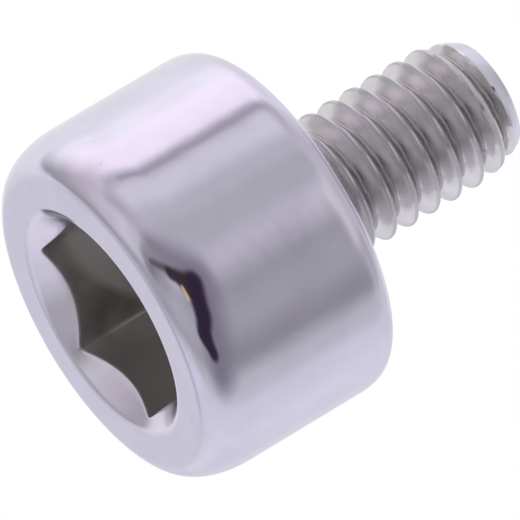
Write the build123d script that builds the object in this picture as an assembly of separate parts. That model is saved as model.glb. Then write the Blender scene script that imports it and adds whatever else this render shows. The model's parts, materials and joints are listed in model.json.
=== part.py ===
"""Socket head cap screw: one solid, standing on the face of its head.

The origin is the centre of the socket face and +Z runs up the screw's axis, towards the tip
of the thread. The head is a polished disc with a soft front edge, a countersunk hexagon socket
and a flat bearing ring; the shank is a short neck and a rolled right-hand thread.
"""

import os
from math import radians, tan

from build123d import *

# Head
head_diameter = 9.85
head_height = 5.85
face_rounding_radial = 0.76
face_rounding_axial = 1.53
rear_rounding_radial = 0.42
rear_rounding_axial = 0.65

# Hexagon socket
key_size = 5.0
key_clearance = 0.14
key_sides = 6
key_turn = 30.0
socket_depth = 3.2
mouth_diameter = 6.4
mouth_angle = 90.0
floor_angle = 120.0
floor_cone_share = 0.92

# Shank and rolled thread
shank_length = 6.5
neck_length = 0.60
neck_flare = 0.30
thread_diameter = 3.86
thread_pitch = 0.70
thread_angle = 60.0
thread_depth_share = 0.58
crest_flat_share = 0.125
thread_turn_share = 0.741
tip_taper_length = 1.25
tip_diameter = 3.0

# Extra lengths that carry every cut or joint clear of the surface it meets
cut_overrun = 0.5
taper_overrun = 0.02
core_overrun = 1.5
foot_overrun = 0.1

# Sizes that follow from the ones above
head_radius = head_diameter / 2
face_radius = head_radius - face_rounding_radial
socket_radius = (key_size + key_clearance) / 2
mouth_radius = mouth_diameter / 2
mouth_slope = tan(radians(mouth_angle / 2))
floor_slope = tan(radians(floor_angle / 2))
thread_radius = thread_diameter / 2
thread_depth = thread_depth_share * thread_pitch
root_radius = thread_radius - thread_depth
neck_radius = thread_radius - thread_depth / 2
tip_radius = tip_diameter / 2
thread_bottom = head_height + neck_length
tip_height = head_height + shank_length
upright = (Align.CENTER, Align.CENTER, Align.MIN)


def head_and_neck() -> Part:
    """Turned blank of the head, its bearing face and the neck with the flare at its foot."""
    with BuildPart() as blank:
        with BuildSketch(Plane.XZ):
            with BuildLine():
                Line((0, 0), (face_radius, 0))
                front = EllipticalCenterArc(
                    (face_radius, face_rounding_axial),
                    face_rounding_radial,
                    face_rounding_axial,
                    start_angle=270,
                    arc_size=90,
                )
                rear = EllipticalCenterArc(
                    (head_radius - rear_rounding_radial, head_height - rear_rounding_axial),
                    rear_rounding_radial,
                    rear_rounding_axial,
                    start_angle=0,
                    arc_size=90,
                )
                Line(front @ 1, rear @ 0)
                Polyline(
                    rear @ 1,
                    (neck_radius + neck_flare, head_height),
                    (neck_radius, head_height + neck_flare),
                    (neck_radius, thread_bottom),
                    (0, thread_bottom),
                    (0, 0),
                )
            make_face()
        revolve(axis=Axis.Z)
    return blank.part


def key_socket() -> Part:
    """Space that the hex key enters: countersunk mouth, six flats and a conical floor."""
    floor_radius = floor_cone_share * socket_radius
    hexagon = RegularPolygon(socket_radius, key_sides, major_radius=False, rotation=key_turn)
    flats = extrude(Pos(0, 0, -cut_overrun) * hexagon, socket_depth + cut_overrun)
    mouth_depth = (mouth_radius - socket_radius) / mouth_slope
    mouth = Cone(
        mouth_radius + cut_overrun * mouth_slope,
        socket_radius,
        mouth_depth + cut_overrun,
        align=upright,
    )
    floor = Cone(floor_radius, 0, floor_radius / floor_slope, align=upright)
    return flats + Pos(0, 0, -cut_overrun) * mouth + Pos(0, 0, socket_depth) * floor


def thread_ridge() -> Part:
    """Helical ridge of the thread, its foot sunk in the core and its ends past neck and tip."""
    start = thread_bottom - (1 + thread_turn_share) * thread_pitch
    end = tip_height + thread_pitch
    foot = thread_depth + foot_overrun
    half_crest = crest_flat_share * thread_pitch / 2
    half_foot = half_crest + foot * tan(radians(thread_angle / 2))
    path = Helix(thread_pitch, end - start, thread_radius, center=(0, 0, start))
    across = Plane(origin=path @ 0, x_dir=(1, 0, 0), z_dir=path % 0)
    with BuildSketch(across) as section:
        with BuildLine():
            Polyline(
                (0, -half_crest),
                (-foot, -half_foot),
                (-foot, half_foot),
                (0, half_crest),
                close=True,
            )
        make_face()
    return sweep(section.sketch, path=path, is_frenet=True)


def threaded_bar() -> Part:
    """Core and ridge at full height, running on past both ends of the thread."""
    length = tip_height - thread_bottom + 2 * core_overrun
    core = Cylinder(root_radius, length, align=upright)
    return Pos(0, 0, thread_bottom - core_overrun) * core + thread_ridge()


def thread_outline() -> Part:
    """Space left for the thread: a lead at the neck, room for the crests and a tip taper."""
    room = thread_radius + cut_overrun
    with BuildPart() as outline:
        with BuildSketch(Plane.XZ):
            with BuildLine():
                Polyline(
                    (0, thread_bottom),
                    (neck_radius, thread_bottom),
                    (room, thread_bottom + room - neck_radius),
                    (room, tip_height - tip_taper_length),
                    (thread_radius + taper_overrun, tip_height - tip_taper_length),
                    (tip_radius, tip_height),
                    (0, tip_height),
                    close=True,
                )
            make_face()
        revolve(axis=Axis.Z)
    return outline.part


def cap_screw() -> Part:
    """Whole screw: the socketed head with the threaded shank grown from its bearing face."""
    return (head_and_neck() - key_socket()) + (threaded_bar() & thread_outline())


os.makedirs("parts", exist_ok=True)
export_step(cap_screw(), "parts/cap_screw.step")
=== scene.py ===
"""Looks of a socket head cap screw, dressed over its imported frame.

The screw stands on the face of its head at the origin, with +Z up its axis. One closed mesh
takes the place of the plain solid: a mirror-polished head with a countersunk hexagon socket,
a short neck and a rolled thread. The camera looks at it from below, along the line of sight of
the photograph, and the floor shows only from above.
"""

import json
import logging
import math
from dataclasses import dataclass, field, replace
from enum import Enum
from functools import partial
from typing import Any, Callable, Iterable, Sequence, Union

import bmesh
import bpy
import numpy as np
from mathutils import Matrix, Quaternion, Vector


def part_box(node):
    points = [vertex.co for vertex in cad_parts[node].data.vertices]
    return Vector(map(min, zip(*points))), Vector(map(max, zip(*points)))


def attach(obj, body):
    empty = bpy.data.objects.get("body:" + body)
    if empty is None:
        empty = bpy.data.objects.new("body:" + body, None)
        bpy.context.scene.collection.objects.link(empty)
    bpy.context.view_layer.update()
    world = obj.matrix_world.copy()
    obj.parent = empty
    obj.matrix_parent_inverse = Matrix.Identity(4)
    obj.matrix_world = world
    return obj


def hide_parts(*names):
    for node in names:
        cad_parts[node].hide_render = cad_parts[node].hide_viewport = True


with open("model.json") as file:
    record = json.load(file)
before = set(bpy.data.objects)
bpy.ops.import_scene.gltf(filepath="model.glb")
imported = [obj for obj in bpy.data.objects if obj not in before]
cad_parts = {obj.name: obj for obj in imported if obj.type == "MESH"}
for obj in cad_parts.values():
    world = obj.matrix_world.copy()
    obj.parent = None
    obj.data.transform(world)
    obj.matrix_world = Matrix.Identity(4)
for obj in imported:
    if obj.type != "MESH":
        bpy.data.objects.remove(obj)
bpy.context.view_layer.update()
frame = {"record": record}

log = logging.getLogger("cap_screw")

MM = 0.001
NODE = "cap_screw"
BODY = "root"
PIECE = "polished_cap_screw"
COLUMNS = 192
HEX_SIDES = 6
FULL_TURN = 360.0
WELD = 0.0005 * MM
PICK_REACH = 10 * WELD
CLOSING_SHARE = 0.02
SMOOTH_ANGLE = 32.0
FACING = 0.8
FACING_UP = 0.9
SPECK_CORE = 0.4

Colour = tuple[float, float, float]
Span = tuple[float, float]
Socket = bpy.types.NodeSocket
Number = Union[float, "Value"]


class Zone(Enum):
    """Finishes of the screw, in the order of its material slots."""

    HEAD = 0
    SOCKET = 1
    THREAD = 2
    SEAT = 3
    MOUTH = 4
    TIP = 5


# Shader maths


class Value:
    """An output socket of a node graph, with operators that add Math nodes."""

    def __init__(self, graph: "Graph", socket: Socket) -> None:
        """Wraps a socket of the given graph."""
        self.graph = graph
        self.socket = socket

    def __add__(self, other: Number) -> "Value":
        """This plus other."""
        return self.graph.math("ADD", self, other)

    def __radd__(self, other: Number) -> "Value":
        """Other plus this."""
        return self.graph.math("ADD", other, self)

    def __sub__(self, other: Number) -> "Value":
        """This minus other."""
        return self.graph.math("SUBTRACT", self, other)

    def __rsub__(self, other: Number) -> "Value":
        """Other minus this."""
        return self.graph.math("SUBTRACT", other, self)

    def __mul__(self, other: Number) -> "Value":
        """This times other."""
        return self.graph.math("MULTIPLY", self, other)

    def __rmul__(self, other: Number) -> "Value":
        """Other times this."""
        return self.graph.math("MULTIPLY", other, self)

    def __truediv__(self, other: Number) -> "Value":
        """This divided by other."""
        return self.graph.math("DIVIDE", self, other)

    def __rtruediv__(self, other: Number) -> "Value":
        """Other divided by this."""
        return self.graph.math("DIVIDE", other, self)

    def step(self, low: float, high: float) -> "Value":
        """Smooth rise from 0 at low to 1 at high.

        Args:
            low: value at which the result is 0.
            high: value at which the result is 1; it may lie under low.

        Returns:
            The eased value.
        """
        settings = {"interpolation_type": "SMOOTHSTEP"}
        inputs = {"Value": self, "From Min": low, "From Max": high}
        return self.graph.out(self.graph.node("ShaderNodeMapRange", settings, inputs))

    def towards(self, bearing: float) -> "Value":
        """Cosine of the way from this angle, in radians, to a bearing in degrees."""
        return self.graph.math("COSINE", self - math.radians(bearing))


class Graph:
    """A node tree that starts empty and grows by calls."""

    def __init__(self, tree: bpy.types.NodeTree) -> None:
        """Clears the tree and keeps it."""
        self.tree = tree
        tree.nodes.clear()

    def node(
        self,
        kind: str,
        settings: dict[str, Any] | None = None,
        inputs: dict[Any, Any] | None = None,
    ) -> bpy.types.Node:
        """Adds a node.

        Args:
            kind: Blender's type name of the node.
            settings: the node's own properties, which are set first; "stops" fills a colour ramp.
            inputs: values, sockets or links by the socket's name or place.

        Returns:
            The new node.
        """
        made = self.tree.nodes.new(kind)
        for name, setting in (settings or {}).items():
            if name == "stops":
                self._fill_ramp(made.color_ramp, setting)
            else:
                setattr(made, name, setting)
        for name, given in (inputs or {}).items():
            if isinstance(given, Value):
                given = given.socket
            if isinstance(given, Socket):
                self.tree.links.new(given, made.inputs[name])
            else:
                made.inputs[name].default_value = given
        return made

    @staticmethod
    def _fill_ramp(ramp: bpy.types.ColorRamp, stops: Sequence[tuple[float, Colour]]) -> None:
        """Sets a colour ramp's stops, given as places from 0 to 1 with colours."""
        ramp.interpolation = "EASE"
        while len(ramp.elements) < len(stops):
            ramp.elements.new(1.0)
        for element, (place, colour) in zip(ramp.elements, stops):
            element.position = place
            element.color = (*colour, 1.0)

    def out(self, node: bpy.types.Node, socket: Any = 0) -> Value:
        """An output of a node as a value."""
        return Value(self, node.outputs[socket])

    def math(self, operation: str, *terms: Number) -> Value:
        """Adds one Math node.

        Args:
            operation: Blender's name of the operation.
            terms: the node's inputs in order, as numbers or values.

        Returns:
            The node's result.
        """
        return self.out(self.node("ShaderNodeMath", {"operation": operation}, dict(enumerate(terms))))

    def length(self, x: Value, y: Value) -> Value:
        """Length of the two sides' diagonal."""
        return self.math("SQRT", x * x + y * y)

    def axes(self, where: Socket) -> tuple[Value, Value, Value]:
        """The three parts of a place or a direction."""
        parts = self.node("ShaderNodeSeparateXYZ", None, {0: where})
        return tuple(self.out(parts, name) for name in "XYZ")

    def blend(self, share: Number, first: Any, second: Any) -> Socket:
        """Mixes two colours.

        Args:
            share: 0 for the first colour and 1 for the second.
            first: colour or colour socket.
            second: colour or colour socket.

        Returns:
            The mixed colour's socket.
        """
        colours = [c if isinstance(c, Socket) else (*c, 1.0) for c in (first, second)]
        inputs = {0: share, 6: colours[0], 7: colours[1]}
        return self.node("ShaderNodeMix", {"data_type": "RGBA"}, inputs).outputs[2]

    def noise(self, where: Socket, size: float, detail: float = 2.0) -> Value:
        """Soft noise.

        Args:
            where: coordinates in metres.
            size: size of one lump, in metres.
            detail: how many finer layers it has.

        Returns:
            Values round a half.
        """
        inputs = {"Vector": where, "Scale": 1.0 / size, "Detail": detail}
        return self.out(self.node("ShaderNodeTexNoise", None, inputs))

    def specks(self, where: Socket, cell: float, speck: float, share: float) -> Value:
        """Small round spots, at most one in each cell.

        Args:
            where: coordinates in metres.
            cell: distance between places where a spot may lie, in metres.
            speck: radius of a spot, in metres.
            share: share of the cells that hold a spot.

        Returns:
            1 on the spots and 0 elsewhere.
        """
        cells = self.node("ShaderNodeTexVoronoi", None, {"Vector": where, "Scale": 1.0 / cell})
        drawn = self.out(self.node("ShaderNodeSeparateColor", None, {0: cells.outputs["Color"]}))
        spot = self.out(cells, "Distance").step(speck / cell, SPECK_CORE * speck / cell)
        return spot * self.math("LESS_THAN", drawn, share)


# Finishes


def new_material(name: str) -> tuple[bpy.types.Material, Graph, Socket]:
    """Adds a material, with its empty graph and the object's coordinates in metres."""
    made = bpy.data.materials.new(name)
    made.use_nodes = True
    graph = Graph(made.node_tree)
    return made, graph, graph.node("ShaderNodeTexCoord").outputs["Object"]


@dataclass(frozen=True, kw_only=True)
class Finish:
    """Steel with a tint, a gloss, slow waves in the surface and small pits."""

    name: str
    tint: Colour
    dull_tint: Colour
    roughness: float
    cloud_size: float
    wave_size: float
    wave_height: float
    pit_radius: float
    pit_share: float
    pit_depth: float
    grain_height: float
    grain_size: float = 0.05 * MM
    roughness_spread: float = 0.10
    pit_cell: float = 0.6 * MM
    pit_shade: float = 0.35
    pit_darkness: float = 0.3
    pit_roughness: float = 0.25
    cloud_detail: float = 3.0
    cloud_fade: Span = (0.35, 0.75)

    def material(self) -> bpy.types.Material:
        """Builds the node material.

        Returns:
            The finished material.
        """
        made, graph, where = new_material(self.name)
        clouds = graph.noise(where, self.cloud_size, self.cloud_detail)
        waves = graph.noise(where, self.wave_size)
        grain = graph.noise(where, self.grain_size)
        pits = graph.specks(where, self.pit_cell, self.pit_radius, self.pit_share)
        colour = graph.blend(clouds.step(*self.cloud_fade), self.tint, self.dull_tint)
        # painted light and shade that a finish lays over its own tone
        colour = self.paint_light_and_shade(graph, where, colour)
        pit_tint = tuple(self.pit_darkness * part for part in self.dull_tint)
        colour = graph.blend(pits * self.pit_shade, colour, pit_tint)
        rough = self.roughness + self.roughness_spread * (clouds - 0.5) + self.pit_roughness * pits
        rough = self.dull(graph, where, rough)
        height = waves * self.wave_height + grain * self.grain_height - pits * self.pit_depth
        bump = graph.node("ShaderNodeBump", None, {"Distance": 1.0, "Height": height})
        inputs = {"Base Color": colour, "Roughness": rough, "Normal": bump.outputs[0]}
        shader = graph.node("ShaderNodeBsdfPrincipled", None, {"Metallic": 1.0, **inputs})
        graph.node("ShaderNodeOutputMaterial", None, {"Surface": shader.outputs[0]})
        return made

    def paint_light_and_shade(self, graph: Graph, where: Socket, colour: Socket) -> Socket:
        """Colour after the finish's painted light and shade, of which plain steel has none."""
        return colour

    def dull(self, graph: Graph, where: Socket, rough: Value) -> Value:
        """Roughness after the finish's dull places, of which plain steel has none."""
        return rough


@dataclass(frozen=True, kw_only=True)
class RolledFinish(Finish):
    """Steel of a rolled thread, duller on its crests, with painted shade in its roots and crests
    painted darker to dim their highlight.
    """

    crest_shade_tint: Colour
    root_shade_tint: Colour
    crest_fade: Span = (0.12, 0.056)
    root_fade: Span = (0.38, 0.452)
    crest_dullness: float
    root_dullness: float
    pitch: float = 1.0 * MM
    crest_height: float = 0.0

    def bands(self, graph: Graph, where: Socket) -> tuple[Value, Value]:
        """Where the crests and the roots lie, by the way from a crest's middle in pitches.

        Args:
            graph: the material's graph.
            where: coordinates in metres.

        Returns:
            A mask of the crests and a mask of the roots.
        """
        x, y, z = graph.axes(where)
        turn = (z - self.crest_height) / self.pitch - graph.math("ARCTAN2", y, x) / math.tau
        off_crest = graph.math("ABSOLUTE", graph.math("FRACT", turn + 0.5) - 0.5)
        return off_crest.step(*self.crest_fade), off_crest.step(*self.root_fade)

    def paint_light_and_shade(self, graph: Graph, where: Socket, colour: Socket) -> Socket:
        """Paints shade into the roots, and paints the crests darker, which dims their highlight.

        Args:
            graph: the material's graph.
            where: coordinates in metres.
            colour: colour of the flanks.

        Returns:
            The colour's socket.
        """
        crest, root = self.bands(graph, where)
        # painted shade: crests darker to dim their highlight, roots dark where shade falls
        colour = graph.blend(crest, colour, self.crest_shade_tint)
        return graph.blend(root, colour, self.root_shade_tint)

    def dull(self, graph: Graph, where: Socket, rough: Value) -> Value:
        """Roughens the crests and the roots.

        Args:
            graph: the material's graph.
            where: coordinates in metres.
            rough: roughness of the flanks.

        Returns:
            The roughness.
        """
        crest, root = self.bands(graph, where)
        return rough + crest * self.crest_dullness + root * self.root_dullness


@dataclass(frozen=True, kw_only=True)
class PunchedFinish(Finish):
    """Steel of a punched hexagon, with painted highlights in its deep corners, painted light on one
    side and painted shade on another.
    """

    corner_highlight_tint: Colour
    corner_depth: float
    lit_side_tint: Colour
    shaded_side_tint: Colour
    lit_side_bearing: float
    shaded_side_bearing: float
    lit_side_slant: float = 2.4
    lit_side_fade: Span = (0.44, 0.72)
    shaded_side_fade: Span = (0.75, 0.97)
    corner_highlight_fade: Span = (-0.990, -0.999)
    deep_share: float = 0.5

    def paint_light_and_shade(self, graph: Graph, where: Socket, colour: Socket) -> Socket:
        """Paints highlights into the deep corners, light onto one side away from the mouth, and shade
        onto another side.

        Args:
            graph: the material's graph.
            where: coordinates in metres.
            colour: colour of the flats.

        Returns:
            The colour's socket.
        """
        x, y, z = graph.axes(where)
        angle = graph.math("ARCTAN2", y, x)
        deep = z.step(self.deep_share * self.corner_depth, self.corner_depth)
        # painted light on the flats that face one bearing, growing with depth
        lit_side = angle.towards(self.lit_side_bearing) - 1.0
        slant = z / self.corner_depth + lit_side * self.lit_side_slant
        colour = graph.blend(slant.step(*self.lit_side_fade), colour, self.lit_side_tint)
        # painted shade on the flats that face another bearing
        shaded_side = angle.towards(self.shaded_side_bearing)
        colour = graph.blend(shaded_side.step(*self.shaded_side_fade), colour, self.shaded_side_tint)
        # painted highlight along the deep corners of the hexagon
        swing = graph.math("COSINE", angle * HEX_SIDES)
        return graph.blend(swing.step(*self.corner_highlight_fade) * deep, colour, self.corner_highlight_tint)


@dataclass(frozen=True, kw_only=True)
class CoinedFinish(Finish):
    """Steel of a coined mouth, with painted shade along one side of its inner rim."""

    rim_shade_tint: Colour
    rim_shade_bearing: float
    rim_shade_fade: Span = (0.95, 0.985)
    inner_fade: Span = (0.92, 0.965)
    outer_fade: Span = (1.05, 1.03)
    rim_radius: float = 1.0 * MM

    def paint_light_and_shade(self, graph: Graph, where: Socket, colour: Socket) -> Socket:
        """Paints shade onto a short stretch of the rim.

        Args:
            graph: the material's graph.
            where: coordinates in metres.
            colour: colour of the mouth.

        Returns:
            The colour's socket.
        """
        x, y, _ = graph.axes(where)
        side = graph.math("ARCTAN2", y, x).towards(self.rim_shade_bearing)
        out = graph.length(x, y) / self.rim_radius
        rim = out.step(*self.inner_fade) * out.step(*self.outer_fade)
        # painted shade on one side of the inner rim, where the socket opens
        return graph.blend(side.step(*self.rim_shade_fade) * rim, colour, self.rim_shade_tint)


POLISHED_HEAD = Finish(
    name="polished_head",
    tint=(0.625, 0.597, 0.715),
    dull_tint=(0.595, 0.568, 0.68),
    roughness=0.075,
    roughness_spread=0.06,
    cloud_size=1.0 * MM,
    wave_size=1.3 * MM,
    wave_height=0.010 * MM,
    pit_cell=0.8 * MM,
    pit_radius=0.07 * MM,
    pit_share=0.35,
    pit_depth=0.0004 * MM,
    grain_height=0.0001 * MM,
    pit_shade=0.12,
)

COINED_MOUTH = CoinedFinish(
    name="coined_mouth",
    # painted shade on one side of the mouth's rim
    rim_shade_tint=(0.035, 0.033, 0.036),
    rim_shade_bearing=209.0,
    tint=(0.64, 0.61, 0.71),
    dull_tint=(0.605, 0.575, 0.67),
    roughness=0.20,
    cloud_size=0.8 * MM,
    wave_size=0.9 * MM,
    wave_height=0.006 * MM,
    pit_cell=0.7 * MM,
    pit_radius=0.05 * MM,
    pit_share=0.3,
    pit_depth=0.001 * MM,
    grain_height=0.0002 * MM,
    pit_shade=0.12,
)

FORGED_SOCKET = PunchedFinish(
    name="forged_socket",
    tint=(0.62, 0.60, 0.585),
    dull_tint=(0.355, 0.34, 0.33),
    # painted corner highlights, painted light on one side and painted shade on another
    corner_highlight_tint=(0.74, 0.74, 0.68),
    corner_depth=1.7 * MM,
    lit_side_tint=(0.84, 0.80, 0.80),
    shaded_side_tint=(0.35, 0.335, 0.325),
    lit_side_bearing=145.0,
    shaded_side_bearing=50.0,
    roughness=0.42,
    roughness_spread=0.16,
    cloud_size=1.5 * MM,
    wave_size=0.7 * MM,
    wave_height=0.01 * MM,
    pit_cell=0.4 * MM,
    pit_radius=0.03 * MM,
    pit_share=0.25,
    pit_depth=0.005 * MM,
    grain_size=0.06 * MM,
    grain_height=0.001 * MM,
)

ROLLED_THREAD = RolledFinish(
    name="rolled_thread",
    tint=(0.65, 0.625, 0.656),
    dull_tint=(0.59, 0.566, 0.588),
    # painted shade on the crests and in the roots
    crest_shade_tint=(0.56, 0.546, 0.59),
    root_shade_tint=(0.39, 0.367, 0.376),
    crest_dullness=0.20,
    root_dullness=0.14,
    roughness=0.26,
    cloud_size=0.8 * MM,
    wave_size=0.5 * MM,
    wave_height=0.004 * MM,
    pit_radius=0.045 * MM,
    pit_share=0.16,
    pit_depth=0.008 * MM,
    grain_height=0.0004 * MM,
)

BLUNT_TIP = Finish(
    name="blunt_tip",
    tint=(0.66, 0.645, 0.745),
    dull_tint=(0.60, 0.585, 0.67),
    roughness=0.26,
    cloud_size=0.7 * MM,
    wave_size=0.6 * MM,
    wave_height=0.004 * MM,
    pit_radius=0.04 * MM,
    pit_share=0.2,
    pit_depth=0.002 * MM,
    grain_height=0.0003 * MM,
    pit_shade=0.2,
)

TURNED_SEAT = Finish(
    name="turned_seat",
    tint=(0.66, 0.64, 0.69),
    dull_tint=(0.58, 0.56, 0.60),
    roughness=0.24,
    cloud_size=1.2 * MM,
    wave_size=0.9 * MM,
    wave_height=0.005 * MM,
    pit_radius=0.04 * MM,
    pit_share=0.5,
    pit_depth=0.005 * MM,
    grain_height=0.0003 * MM,
)


# Meshes


def soft_low(first: np.ndarray, second: np.ndarray, width: float) -> np.ndarray:
    """The lower of two heights with a round corner where they cross.

    Args:
        first: heights.
        second: heights to compare with.
        width: width of the rounding, in metres.

    Returns:
        The rounded lower envelope.
    """
    share = np.clip(0.5 + 0.5 * (second - first) / width, 0.0, 1.0)
    return second * (1 - share) + first * share - width * share * (1 - share)


def quarter(steps: int) -> Iterable[tuple[float, float]]:
    """Sines and cosines of the steps through a quarter turn, the start left out."""
    for i in range(1, steps + 1):
        turn = 0.5 * math.pi * i / steps
        yield math.sin(turn), math.cos(turn)


class Lathe:
    """Grows a round mesh in edit mode, one ring after another."""

    def __init__(self, name: str, radius: float, height: float) -> None:
        """Adds the first ring and enters edit mode.

        Args:
            name: name of the new object.
            radius: radius of the ring.
            height: height of the ring.
        """
        if bpy.context.object and bpy.context.object.mode != "OBJECT":
            bpy.ops.object.mode_set(mode="OBJECT")
        bpy.ops.object.select_all(action="DESELECT")
        bpy.ops.mesh.primitive_circle_add(vertices=COLUMNS, radius=radius, location=(0, 0, height))
        self.piece = bpy.context.object
        self.piece.name = name
        bpy.ops.object.transform_apply(location=True, rotation=True, scale=True)
        self.radius = radius
        self.height = height
        bpy.ops.object.mode_set(mode="EDIT")
        bpy.ops.mesh.select_mode(type="EDGE")
        bpy.ops.mesh.select_all(action="SELECT")

    def ring(self, radius: float, height: float) -> None:
        """Extrudes the selected ring to a new radius and height."""
        rise = (0.0, 0.0, height - self.height)
        bpy.ops.mesh.extrude_edges_move(TRANSFORM_OT_translate={"value": rise})
        scale = radius / self.radius
        bpy.ops.transform.resize(value=(scale, scale, 1.0), center_override=(0.0, 0.0, height))
        self.radius = radius
        self.height = height

    def shaped_ring(self, place: Callable[[float], Span]) -> None:
        """Extrudes the selected ring and places each new point in its plane through the axis.

        Args:
            place: gives a point's radius and height from its angle.
        """
        self.ring(self.radius, self.height)
        mesh = bmesh.from_edit_mesh(self.piece.data)
        for point in (v for v in mesh.verts if v.select):
            angle = math.atan2(point.co.y, point.co.x)
            radius, height = place(angle)
            point.co = (radius * math.cos(angle), radius * math.sin(angle), height)
        bmesh.update_edit_mesh(self.piece.data)

    def pick(self, radius: float, height: float) -> None:
        """Selects the ring at a radius and height, to go on from it."""
        bpy.ops.mesh.select_all(action="DESELECT")
        mesh = bmesh.from_edit_mesh(self.piece.data)
        for edge in mesh.edges:
            edge.select_set(all(self._lies_on(v.co, radius, height) for v in edge.verts))
        mesh.select_flush_mode()
        bmesh.update_edit_mesh(self.piece.data)
        self.radius = radius
        self.height = height

    @staticmethod
    def _lies_on(point: Vector, radius: float, height: float) -> bool:
        """True for a point of the ring at this radius and height."""
        off = math.hypot(math.hypot(point.x, point.y) - radius, point.z - height)
        return off < PICK_REACH

    def close(self, height: float) -> None:
        """Draws the selected ring together into one point on the axis."""
        self.ring(CLOSING_SHARE * self.radius, height)
        bpy.ops.mesh.merge(type="CENTER")

    def done(self) -> bpy.types.Object:
        """Leaves edit mode and hands over the piece."""
        bpy.ops.object.mode_set(mode="OBJECT")
        return self.piece


@dataclass(frozen=True)
class FrameSizes:
    """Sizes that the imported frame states, in metres."""

    head_radius: float
    head_height: float
    tip_height: float
    thread_radius: float
    thread_bottom: float
    socket_radius: float
    socket_depth: float

    @classmethod
    def read(cls) -> "FrameSizes":
        """Reads the node's box and the record's mounts."""
        mounts = {mount["name"]: mount for mount in frame["record"]["mounts"]}
        low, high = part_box(NODE)
        thread = mounts["thread"]
        socket = mounts["hex_socket"]
        return cls(
            head_radius=(high.x - low.x) / 2,
            head_height=mounts["bearing_face"]["pos_m"][2],
            tip_height=high.z,
            thread_radius=thread["dims"]["r_mm"] * MM,
            thread_bottom=thread["pos_m"][2],
            socket_radius=socket["dims"]["r_mm"] * MM,
            socket_depth=socket["dims"]["length_mm"] * MM,
        )


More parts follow.
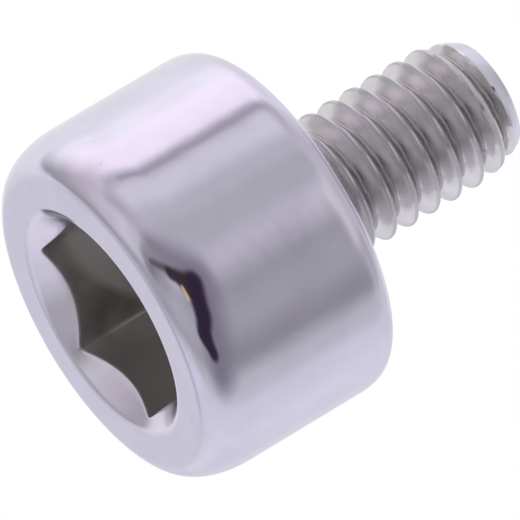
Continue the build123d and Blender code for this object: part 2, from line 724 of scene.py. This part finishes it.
@dataclass
class ThreadedShank:
    """Neck under the head and the rolled thread up to the tip."""

    sizes: FrameSizes
    pitch: float = 0.70 * MM
    depth_share: float = 0.58
    crest_flat_share: float = 0.125
    flank_angle: float = 60.0
    start_share: float = 0.259
    crest_rounding: float = 0.06 * MM
    root_rounding: float = 0.10 * MM
    fillet: float = 0.30 * MM
    taper_length: float = 1.55 * MM
    tip_radius: float = 1.50 * MM
    tip_rounding: float = 0.10 * MM
    tip_dish: float = 0.06 * MM
    dish_shares: tuple[float, ...] = (0.9, 0.75, 0.55, 0.3, 0.12)
    bevel_share: float = 0.9
    bevel_skin: float = 0.05 * MM
    runout_share: float = 0.6
    rows_per_pitch: int = 32
    fillet_steps: int = 8

    @property
    def neck_radius(self) -> float:
        """Radius of the bar before the thread is rolled."""
        return self.sizes.thread_radius - self.depth_share * self.pitch / 2

    @property
    def crest_height(self) -> float:
        """Height at which the first crest crosses the X axis."""
        return self.sizes.thread_bottom + self.start_share * self.pitch

    @property
    def seat_radius(self) -> float:
        """Radius at which the fillet meets the bearing face."""
        return self.neck_radius + self.fillet

    def build(self) -> bpy.types.Object:
        """Models the shank from the bearing face up.

        Returns:
            The shank, open where it meets the head.
        """
        sizes = self.sizes
        lathe = Lathe("shank", self.seat_radius, sizes.head_height)
        for sine, cosine in quarter(self.fillet_steps):
            lathe.ring(
                self.seat_radius - self.fillet * sine,
                sizes.head_height + self.fillet * (1 - cosine),
            )
        for height in (sizes.thread_bottom, sizes.tip_height):
            lathe.ring(self.neck_radius, height)
        self._divide(lathe)
        self._roll(lathe)
        end = self.envelope(sizes.tip_height)
        lathe.pick(end, sizes.tip_height)
        for share in self.dish_shares:
            dish = self.tip_dish * (1 - share * share) ** 2
            lathe.ring(end * share, sizes.tip_height - dish)
        lathe.close(sizes.tip_height - self.tip_dish)
        return lathe.done()

    def _divide(self, lathe: Lathe) -> None:
        """Cuts the plain bar into rows fine enough for the thread."""
        sizes = self.sizes
        rows = round(self.rows_per_pitch * (sizes.tip_height - sizes.thread_bottom) / self.pitch)
        bpy.ops.mesh.select_all(action="DESELECT")
        mesh = bmesh.from_edit_mesh(lathe.piece.data)
        for edge in mesh.edges:
            ends = sorted(v.co.z for v in edge.verts)
            spans = ends[0] > sizes.thread_bottom - WELD and ends[1] - ends[0] > self.pitch
            edge.select_set(spans)
        mesh.select_flush_mode()
        bmesh.update_edit_mesh(lathe.piece.data)
        bpy.ops.mesh.subdivide(number_cuts=rows - 1, quadcorner="STRAIGHT_CUT")

    def _roll(self, lathe: Lathe) -> None:
        """Presses the thread into the rows of the bar."""
        mesh = bmesh.from_edit_mesh(lathe.piece.data)
        bottom = self.sizes.thread_bottom + WELD
        points = [v for v in mesh.verts if v.co.z > bottom]
        place = np.array([v.co for v in points])
        angle = np.arctan2(place[:, 1], place[:, 0])
        radius = self.surface(angle, place[:, 2])
        for point, turn, reach in zip(points, angle, radius):
            point.co.x = reach * math.cos(turn)
            point.co.y = reach * math.sin(turn)
        bmesh.update_edit_mesh(lathe.piece.data)

    def _drop(self, height: np.ndarray) -> np.ndarray:
        """How far the tip's round taper lies inside the crests.

        Args:
            height: heights along the axis.

        Returns:
            The distance at each height, 0 below the taper.
        """
        sizes = self.sizes
        depth = sizes.thread_radius - self.tip_radius
        sweep = (self.taper_length**2 + depth**2) / (2 * depth)
        past = np.clip(height - sizes.tip_height + self.taper_length, 0, self.taper_length)
        edge = np.clip(height - sizes.tip_height + self.tip_rounding, 0, self.tip_rounding)
        taper = sweep - np.sqrt(sweep**2 - past**2)
        return taper + self.tip_rounding - np.sqrt(self.tip_rounding**2 - edge**2)

    def envelope(self, height: float) -> float:
        """Radius that the crests reach at a height."""
        return self.sizes.thread_radius - float(self._drop(np.array([height]))[0])

    def on_tip(self, place: Vector, normal: Vector) -> bool:
        """True for a face of the tip's bevel or of its end.

        Args:
            place: middle of the face.
            normal: the face's normal.

        Returns:
            False for the thread's flanks and roots and everything below the last turn.
        """
        if place.z <= self.sizes.tip_height - self.bevel_share * self.pitch:
            return False
        out = math.hypot(place.x, place.y)
        outwards = (normal.x * place.x + normal.y * place.y) / out
        bevel = outwards > FACING and out > self.envelope(place.z) - self.bevel_skin
        return bevel or normal.z > FACING_UP

    def surface(self, angle: np.ndarray, height: np.ndarray) -> np.ndarray:
        """Radius of the shank above the neck.

        Args:
            angle: angles round the axis, in radians.
            height: heights along the axis.

        Returns:
            The radius at each place.
        """
        sizes = self.sizes
        turn = (height - self.crest_height) / self.pitch - angle / math.tau
        off_crest = np.abs((turn + 0.5) % 1.0 - 0.5) * self.pitch
        drop = self._drop(height)
        threaded = sizes.thread_radius - self._section(off_crest, drop)
        runout = np.clip((height - sizes.thread_bottom) / (self.runout_share * self.pitch), 0, 1)
        runout = runout * runout * (3 - 2 * runout)
        threaded = self.neck_radius + (threaded - self.neck_radius) * runout
        return np.minimum(threaded, sizes.thread_radius - drop)

    def _section(self, off_crest: np.ndarray, drop: np.ndarray) -> np.ndarray:
        """Depth of the thread's section, with round crests and roots.

        Args:
            off_crest: distances along the axis from the middle of a crest.
            drop: depth at which the crests are cut off.

        Returns:
            Depths under the crests.
        """
        slope = math.tan(math.radians(self.flank_angle))
        flank = (off_crest - self.crest_flat_share * self.pitch / 2) * slope
        capped = -soft_low(-flank, -drop, self.crest_rounding)
        root = np.full_like(flank, self.depth_share * self.pitch)
        return soft_low(capped, root, self.root_rounding)


@dataclass
class SocketedHead:
    """Polished head with its countersunk hexagon socket and its bearing face."""

    sizes: FrameSizes
    seat_radius: float
    face_rounding_radial: float = 0.76 * MM
    face_rounding_axial: float = 1.53 * MM
    rear_rounding_radial: float = 0.509 * MM
    rear_rounding_axial: float = 0.788 * MM
    rear_fullness: float = 2.5
    mouth_radius: float = 3.20 * MM
    mouth_edge: float = 0.30 * MM
    mouth_angle: float = 45.0
    lip: float = 0.035 * MM
    lip_middle: Span = (0.3, 0.2)
    lip_depth_share: float = 1.2
    lip_zone_share: float = 0.2
    corner_sharpness: float = 90.0
    floor_share: float = 0.92
    floor_angle: float = 120.0
    face_steps: int = 28
    rear_steps: int = 24
    mouth_steps: int = 10
    side_shares: tuple[float, ...] = (0.15, 0.4, 0.65, 0.9, 1.0)
    seat_shares: tuple[float, ...] = (0.1, 0.5, 0.9, 1.0)
    face_shares: tuple[float, ...] = (0.1, 0.4, 0.7, 0.95, 1.0)
    cone_shares: tuple[float, ...] = (0.25, 0.5, 0.75, 1.0)
    flat_shares: tuple[float, ...] = (0.02, 0.3, 0.6, 0.98, 1.0)
    floor_shares: tuple[float, ...] = (0.75, 0.5, 0.25, 0.08)

    @property
    def seat_edge(self) -> float:
        """Radius at which the rear rounding meets the bearing face."""
        return self.sizes.head_radius - self.rear_rounding_radial

    def build(self) -> bpy.types.Object:
        """Models the head from the flat ring of its face, outwards and then inwards.

        Returns:
            The head, open where the shank joins it.
        """
        face_radius = self.sizes.head_radius - self.face_rounding_radial
        lathe = Lathe("head", face_radius, 0.0)
        self._outside(lathe, face_radius)
        lathe.pick(face_radius, 0.0)
        self._mouth(lathe)
        self._hexagon(lathe)
        return lathe.done()

    def _outside(self, lathe: Lathe, face_radius: float) -> None:
        """Front rounding, side, rear rounding and bearing face."""
        sizes = self.sizes
        for sine, cosine in quarter(self.face_steps):
            lathe.ring(
                face_radius + self.face_rounding_radial * sine,
                self.face_rounding_axial * (1 - cosine),
            )
        front = self.face_rounding_axial
        rear = sizes.head_height - self.rear_rounding_axial
        for share in self.side_shares:
            lathe.ring(sizes.head_radius, front + (rear - front) * share)
        power = 2 / self.rear_fullness
        for sine, cosine in quarter(self.rear_steps):
            lathe.ring(
                sizes.head_radius - self.rear_rounding_radial * (1 - max(cosine, 0.0) ** power),
                rear + self.rear_rounding_axial * sine**power,
            )
        for share in self.seat_shares:
            radius = self.seat_edge + (self.seat_radius - self.seat_edge) * share
            lathe.ring(radius, sizes.head_height)

    def _mouth(self, lathe: Lathe) -> None:
        """Flat ring of the face and the soft edge of the socket's mouth."""
        steps = self.mouth_steps
        ways = [(step + 0.5) / steps for step in range(steps)]
        turns = [math.radians(self.mouth_angle) * way * way * (3 - 2 * way) for way in ways]
        outer = lathe.radius
        length = self.mouth_edge / steps
        inner = self.mouth_radius + length * sum(math.cos(t) - math.sin(t) for t in turns)
        for share in self.face_shares:
            lathe.ring(outer + (inner - outer) * share, 0.0)
        for turn in turns:
            lathe.ring(
                lathe.radius - length * math.cos(turn), lathe.height + length * math.sin(turn)
            )

    def _hexagon(self, lathe: Lathe) -> None:
        """Countersink down to the hexagon, the six flats and the conical floor."""
        sizes = self.sizes
        start = lathe.radius
        cone_foot = lathe.radius + lathe.height

        def on_cone(angle: float, share: float) -> Span:
            """A point of the 90 degree countersink, a share of the way in to the lip."""
            radius = start + (self.flat(angle) + self.lip - start) * share
            return radius, cone_foot - radius

        def on_lip(angle: float, out: float, down: float) -> Span:
            """A point of the lip, so many lips out from the hexagon and down from the cone."""
            flat = self.flat(angle)
            return flat + out * self.lip, cone_foot - flat + down * self.lip

        def on_flat(angle: float, share: float) -> Span:
            """A point of the flats, a share of the way down to the floor."""
            radius, top = on_lip(angle, 0.0, self.lip_depth_share)
            return radius, top * (1 - share) + sizes.socket_depth * share

        for share in self.cone_shares:
            lathe.shaped_ring(partial(on_cone, share=share))
        for out, down in (self.lip_middle, (0.0, self.lip_depth_share)):
            lathe.shaped_ring(partial(on_lip, out=out, down=down))
        for share in self.flat_shares:
            lathe.shaped_ring(partial(on_flat, share=share))
        floor_radius = self.floor_share * sizes.socket_radius
        floor_slope = math.tan(math.radians(self.floor_angle / 2))
        lathe.shaped_ring(lambda angle: (floor_radius, sizes.socket_depth))
        lathe.radius = floor_radius
        lathe.height = sizes.socket_depth
        for share in self.floor_shares:
            depth = sizes.socket_depth + floor_radius * (1 - share) / floor_slope
            lathe.ring(floor_radius * share, depth)
        lathe.close(sizes.socket_depth + floor_radius / floor_slope)

    def flat(self, angle: float) -> float:
        """Distance from the axis to the hexagon, whose corners are slightly round.

        Args:
            angle: angle round the axis, in radians.

        Returns:
            The distance along that angle.
        """
        near = sum(
            max(0.0, math.cos(angle - side * math.tau / HEX_SIDES)) ** self.corner_sharpness
            for side in range(HEX_SIDES)
        )
        return self.sizes.socket_radius / near ** (1 / self.corner_sharpness)


@dataclass
class CapScrew:
    """The whole screw as one closed piece."""

    sizes: FrameSizes
    shank: ThreadedShank = field(init=False)
    head: SocketedHead = field(init=False)

    def __post_init__(self) -> None:
        """Fits the head to the shank."""
        self.shank = ThreadedShank(self.sizes)
        self.head = SocketedHead(self.sizes, self.shank.seat_radius)

    def build(self) -> bpy.types.Object:
        """Models, welds and dresses the screw.

        Returns:
            The screw, riding on the frame's body.
        """
        head = self.head.build()
        log.info("head: %d faces", len(head.data.polygons))
        shank = self.shank.build()
        log.info("shank: %d faces", len(shank.data.polygons))
        piece = self._weld(head, shank)
        self._dress(piece)
        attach(piece, BODY)
        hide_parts(NODE)
        return piece

    def _weld(self, head: bpy.types.Object, shank: bpy.types.Object) -> bpy.types.Object:
        """Joins the two lathe-grown pieces at the bearing face."""
        bpy.ops.object.select_all(action="DESELECT")
        shank.select_set(True)
        head.select_set(True)
        bpy.context.view_layer.objects.active = head
        bpy.ops.object.join()
        head.name = PIECE
        head.data.name = PIECE
        bpy.ops.object.mode_set(mode="EDIT")
        bpy.ops.mesh.select_all(action="SELECT")
        bpy.ops.mesh.remove_doubles(threshold=WELD)
        bpy.ops.mesh.normals_make_consistent(inside=False)
        bpy.ops.object.mode_set(mode="OBJECT")
        bpy.ops.object.shade_smooth_by_angle(angle=math.radians(SMOOTH_ANGLE))
        return head

    def _dress(self, piece: bpy.types.Object) -> None:
        """Gives each zone of the screw its finish."""
        shank = self.shank
        finishes = {
            Zone.HEAD: POLISHED_HEAD,
            Zone.SOCKET: FORGED_SOCKET,
            Zone.THREAD: replace(ROLLED_THREAD, pitch=shank.pitch, crest_height=shank.crest_height),
            Zone.SEAT: TURNED_SEAT,
            Zone.MOUTH: replace(COINED_MOUTH, rim_radius=self.head.mouth_radius),
            Zone.TIP: BLUNT_TIP,
        }
        piece.data.materials.clear()
        for zone in Zone:
            piece.data.materials.append(finishes[zone].material())
        for face in piece.data.polygons:
            face.material_index = self._zone(face.center, face.normal).value

    def _zone(self, place: Vector, normal: Vector) -> Zone:
        """The finish at a place on the surface.

        Args:
            place: middle of a face.
            normal: the face's normal.

        Returns:
            The zone that the face belongs to.
        """
        head = self.head
        out = math.hypot(place.x, place.y)
        if place.z > self.sizes.head_height:
            return Zone.TIP if self.shank.on_tip(place, normal) else Zone.THREAD
        if place.z > self.sizes.head_height - WELD and out < head.seat_edge:
            return Zone.SEAT
        hexagon = head.flat(math.atan2(place.y, place.x))
        if out < hexagon + head.lip_zone_share * head.lip and place.z > 0:
            return Zone.SOCKET
        rim = head.mouth_radius + head.mouth_edge / 2
        if out < rim and place.z < self.sizes.head_height / 2:
            return Zone.MOUTH
        return Zone.HEAD


# Studio


@dataclass(frozen=True)
class Panel:
    """A sheet of the tent's wall, with its levels above and below its hem."""

    bearing: float
    upper: float
    lower: float
    hem: float = -31.0
    tint: Colour = (1.0, 1.0, 1.0)


@dataclass(frozen=True)
class Cap:
    """A cap of the tent, which takes over from the wall between two elevations."""

    level: float
    start: float
    end: float


@dataclass(frozen=True)
class Streak:
    """A tapered streak on the tent's wall, from one bearing and elevation to another."""

    start: Span
    end: Span
    widths: Span
    colour: Colour
    softness: float = 0.4

    def mask(self, bearing: Value, rise: Value) -> Value:
        """Covers the streak.

        Args:
            bearing: bearing of the ray in degrees.
            rise: elevation of the ray in degrees.

        Returns:
            1 on the streak and 0 away from it.
        """
        across = self.end[0] - self.start[0]
        up = self.end[1] - self.start[1]
        x = bearing - self.start[0]
        y = rise - self.start[1]
        graph = bearing.graph
        along = (x * across + y * up) / (across * across + up * up)
        along = graph.math("MINIMUM", graph.math("MAXIMUM", along, 0.0), 1.0)
        gap = graph.length(x - along * across, y - along * up)
        reach = gap / (self.widths[0] + along * (self.widths[1] - self.widths[0]))
        return reach.step(1.0 + self.softness, 1.0 - self.softness)


WARM_WHITE = (1.03, 0.96, 0.99)
COOL_WHITE = (0.985, 0.985, 1.04)
PLUM_BLACK = (0.045, 0.030, 0.055)


@dataclass
class Studio:
    """Light tent, overhead lamp and floor."""

    ring_start: float = 95.6
    full_level: float = 1.6
    lean: float = 0.22
    lean_from: float = 21.5
    hem_softness: float = 18.0
    lowest_hem: float = -60.0
    hem_range: float = 80.0
    floor_radius: float = 90.0 * MM
    floor_sides: int = 96
    floor_fade: Span = (0.95, 0.35)
    floor_tint: Colour = (0.93, 0.93, 0.94)
    lamp_place: tuple[float, float, float] = (-120.0 * MM, 50.0 * MM, 250.0 * MM)
    lamp_size: float = 160.0 * MM
    lamp_power: float = 0.9
    caps: tuple[Cap, ...] = (Cap(0.54, -60.0, -82.0), Cap(0.85, 26.0, 58.0), Cap(0.58, 62.0, 82.0))
    panels: tuple[Panel, ...] = (
        Panel(0, 0.87, 0.65, -31, COOL_WHITE),
        Panel(16, 0.95, 0.70, -38),
        Panel(38, 1.05, 0.62, -42),
        Panel(46, 1.10, 0.51, -27),
        Panel(53, 1.13, 0.49, -8),
        Panel(67, 1.30, 0.55, -11),
        Panel(82, 1.41, 0.67, -10, WARM_WHITE),
        Panel(96, 1.36, 0.77, -5, WARM_WHITE),
        Panel(104, 1.30, 0.79, -5, WARM_WHITE),
        Panel(111, 0.90, 0.81, -16),
        Panel(128, 0.94, 0.85),
        Panel(143, 0.71, 0.78),
        Panel(156, 0.63, 0.39),
        Panel(166, 0.64, 0.32),
        Panel(183, 0.91, 0.51),
        Panel(202, 0.49, 0.61),
        Panel(220, 0.53, 0.59),
        Panel(242, 0.41, 0.55),
        Panel(262, 0.75, 0.71),
        Panel(280, 0.94, 0.90, -31, COOL_WHITE),
        Panel(305, 1.00, 0.95, -31, COOL_WHITE),
        Panel(335, 0.88, 0.93, -31, COOL_WHITE),
        Panel(352, 0.80, 0.71, -31, COOL_WHITE),
        Panel(360, 0.87, 0.65, -31, COOL_WHITE),
    )
    streaks: tuple[Streak, ...] = (
        Streak((105.5, -9.0), (115.0, 38.0), (5.6, 4.8), (0.69, 0.67, 0.715), 1.0),
        Streak((108.2, 3.0), (115.4, 36.0), (2.4, 2.4), (0.54, 0.52, 0.555), 0.95),
        Streak((112.0, -22.0), (146.0, -22.0), (8.5, 8.5), (0.66, 0.64, 0.68), 0.9),
        Streak((154.0, -26.0), (186.0, 2.0), (9.0, 15.0), (0.36, 0.34, 0.37), 0.9),
        Streak((188.0, 0.0), (246.0, -15.0), (14.0, 14.0), (0.30, 0.29, 0.32), 0.9),
        Streak((112.0, 37.0), (134.0, 37.0), (8.0, 8.0), (0.70, 0.685, 0.71), 0.9),
        Streak((180.0, 40.0), (212.0, 40.0), (11.0, 11.0), (0.92, 0.86, 0.83), 0.8),
        Streak((20.0, 55.0), (85.0, 55.0), (12.0, 12.0), (1.05, 1.03, 1.07), 0.9),
        Streak((140.0, 57.0), (210.0, 57.0), (13.0, 13.0), (0.74, 0.72, 0.74), 1.0),
        Streak((230.0, 52.0), (256.0, 52.0), (10.0, 10.0), (0.62, 0.61, 0.64), 0.9),
        Streak((318.0, 55.0), (340.0, 55.0), (11.0, 11.0), (1.02, 1.01, 1.04), 0.9),
        Streak((314.0, -20.0), (338.0, -20.0), (13.0, 13.0), (1.02, 1.01, 1.04), 1.0),
        Streak((3.0, -5.0), (4.0, 14.0), (5.0, 5.0), (1.15, 1.13, 1.18), 0.8),
        Streak((158.0, -48.0), (173.0, -27.0), (3.5, 5.5), (0.18, 0.15, 0.17), 0.8),
        Streak((174.0, -28.0), (188.0, -6.0), (5.0, 8.0), (0.060, 0.042, 0.050), 0.5),
        Streak((182.0, -20.0), (197.0, -13.0), (5.5, 7.5), (0.060, 0.042, 0.050), 0.6),
        Streak((187.0, -5.0), (206.0, -14.0), (8.0, 9.5), PLUM_BLACK),
        Streak((206.0, -14.0), (219.0, -22.5), (9.5, 8.5), PLUM_BLACK),
        Streak((219.0, -22.0), (232.0, -18.5), (8.5, 6.0), PLUM_BLACK),
        Streak((186.5, -21.5), (194.0, -22.5), (1.4, 1.9), (0.95, 0.72, 0.40), 0.8),
    )

    def light(self) -> None:
        """Fills the world with the tent and adds a soft lamp for the floor's shadow."""
        world = bpy.data.worlds.new("light_tent")
        bpy.context.scene.world = world
        world.use_nodes = True
        graph = Graph(world.node_tree)
        tent = graph.node("ShaderNodeBackground", None, {"Color": self._tent(graph)})
        paper = graph.node("ShaderNodeBackground", None, {"Color": (1.0, 1.0, 1.0, 1.0)})
        seen = graph.node("ShaderNodeLightPath").outputs["Is Camera Ray"]
        inputs = {0: seen, 1: tent.outputs[0], 2: paper.outputs[0]}
        mixed = graph.node("ShaderNodeMixShader", None, inputs)
        graph.node("ShaderNodeOutputWorld", None, {"Surface": mixed.outputs[0]})
        self._lamp()

    def _tent(self, graph: Graph) -> Socket:
        """Colour of the tent by direction.

        Args:
            graph: the world's graph.

        Returns:
            The colour's socket.
        """
        ray = graph.node("ShaderNodeTexCoord").outputs["Generated"]
        turn = (0.0, 0.0, -math.radians(self.ring_start))
        turned = graph.node("ShaderNodeMapping", None, {"Vector": ray, "Rotation": turn})
        x, y, z = graph.axes(turned.outputs[0])
        share = graph.math("FRACT", graph.math("ARCTAN2", y, x) / math.tau)
        bearing = share * FULL_TURN
        rise = graph.math("ARCSINE", z) * math.degrees(1.0)
        over = graph.math("MAXIMUM", rise, 0.0) - self.lean_from
        leaning = graph.math("FRACT", share - over * (self.lean / FULL_TURN) + 1.0)
        upper = self._wall(graph, leaning, lambda panel: panel.upper)
        lower = self._wall(graph, leaning, lambda panel: panel.lower)
        over_hem = rise - self._hem(graph, leaning)
        tent = graph.blend(over_hem.step(self.hem_softness, -self.hem_softness), upper, lower)
        for cap in self.caps:
            tent = graph.blend(rise.step(cap.start, cap.end), tent, (cap.level,) * 3)
        for streak in self.streaks:
            tent = graph.blend(streak.mask(bearing, rise), tent, streak.colour)
        return tent

    def _hem(self, graph: Graph, share: Value) -> Value:
        """Elevation of the sheets' hems by bearing, in degrees."""
        stops = [
            (p.bearing / FULL_TURN, ((p.hem - self.lowest_hem) / self.hem_range,) * 3)
            for p in self.panels
        ]
        ramp = graph.out(graph.node("ShaderNodeValToRGB", {"stops": stops}, {0: share}))
        return ramp * self.hem_range + self.lowest_hem

    def _wall(self, graph: Graph, share: Value, level: Callable[[Panel], float]) -> Socket:
        """Colour of the wall round the screw.

        Args:
            graph: the world's graph.
            share: bearing as a share of the full turn.
            level: picks a panel's level.

        Returns:
            The colour's socket.
        """
        stops = [
            (p.bearing / FULL_TURN, tuple(level(p) * c / self.full_level for c in p.tint))
            for p in self.panels
        ]
        ramp = graph.node("ShaderNodeValToRGB", {"stops": stops}, {0: share}).outputs[0]
        full = (self.full_level, self.full_level, self.full_level, 1.0)
        settings = {"data_type": "RGBA", "blend_type": "MULTIPLY", "clamp_result": False}
        return graph.node("ShaderNodeMix", settings, {0: 1.0, 6: ramp, 7: full}).outputs[2]

    def _lamp(self) -> None:
        """Large soft lamp overhead, which only lights the floor."""
        bpy.ops.object.light_add(type="AREA", location=self.lamp_place)
        lamp = bpy.context.object
        lamp.name = "overhead_lamp"
        lamp.data.shape = "DISK"
        lamp.data.size = self.lamp_size
        lamp.data.energy = self.lamp_power
        lamp.rotation_mode = "QUATERNION"
        lamp.rotation_quaternion = (-lamp.location).to_track_quat("-Z", "Y")
        lamp.visible_glossy = False

    def floor(self) -> bpy.types.Object:
        """Pale floor under the screw, which shows only from above.

        Returns:
            The floor.
        """
        bpy.ops.object.select_all(action="DESELECT")
        bpy.ops.mesh.primitive_circle_add(
            vertices=self.floor_sides, radius=self.floor_radius, fill_type="NGON", location=(0, 0, 0)
        )
        floor = bpy.context.object
        floor.name = "pale_floor"
        floor.data.materials.append(self._floor_material())
        floor.visible_glossy = False
        floor.visible_diffuse = False
        floor.visible_transmission = False
        floor.visible_shadow = False
        return floor

    def _floor_material(self) -> bpy.types.Material:
        """Matt paper that fades out towards the rim and has no underside."""
        made, graph, where = new_material("pale_floor")
        reach = graph.node("ShaderNodeVectorMath", {"operation": "LENGTH"}, {0: where})
        near = (graph.out(reach, "Value") / self.floor_radius).step(*self.floor_fade)
        under = graph.out(graph.node("ShaderNodeNewGeometry"), "Backfacing")
        paper = graph.node("ShaderNodeBsdfDiffuse", None, {"Color": (*self.floor_tint, 1.0)})
        clear = graph.node("ShaderNodeBsdfTransparent")
        inputs = {0: near * (1.0 - under), 1: clear.outputs[0], 2: paper.outputs[0]}
        mixed = graph.node("ShaderNodeMixShader", None, inputs)
        graph.node("ShaderNodeOutputMaterial", None, {"Surface": mixed.outputs[0]})
        return made


@dataclass(frozen=True)
class PhotoCamera:
    """Long lens on the line of sight of the photograph."""

    azimuth: float = 5.26
    elevation: float = -21.40
    roll: float = 59.09
    lens: float = 1238.4
    sensor: float = 36.0
    clip: Span = (0.01, 10.0)
    distance: float = 457.9 * MM
    aim_height: float = 4.632 * MM
    aim_side: float = 0.679 * MM

    def place(self) -> bpy.types.Object:
        """Adds the camera and makes it the scene's.

        Returns:
            The camera.
        """
        turn = math.radians(self.azimuth)
        rise = math.radians(self.elevation)
        side = Vector((math.cos(turn), math.sin(turn), 0.0))
        back = Vector(
            (math.sin(turn) * math.cos(rise), -math.cos(turn) * math.cos(rise), math.sin(rise))
        )
        aim = side * self.aim_side + Vector((0.0, 0.0, self.aim_height))
        bpy.ops.object.camera_add(location=aim + back * self.distance)
        camera = bpy.context.object
        camera.name = "photo_camera"
        camera.rotation_mode = "QUATERNION"
        upright = (-back).to_track_quat("-Z", "Y")
        camera.rotation_quaternion = upright @ Quaternion((0.0, 0.0, 1.0), math.radians(self.roll))
        camera.data.lens = self.lens
        camera.data.sensor_width = self.sensor
        camera.data.clip_start, camera.data.clip_end = self.clip
        bpy.context.scene.camera = camera
        return camera


def main() -> None:
    """Builds the screw, then its studio."""
    logging.basicConfig(level=logging.INFO, format="%(name)s %(message)s")
    bpy.context.scene.view_settings.view_transform = "Standard"
    screw = CapScrew(FrameSizes.read()).build()
    log.info("%s: %d faces", screw.name, len(screw.data.polygons))
    studio = Studio()
    studio.light()
    log.info("floor: %s", studio.floor().name)
    log.info("camera: %s", PhotoCamera().place().name)


if __name__ == "__main__":
    main()
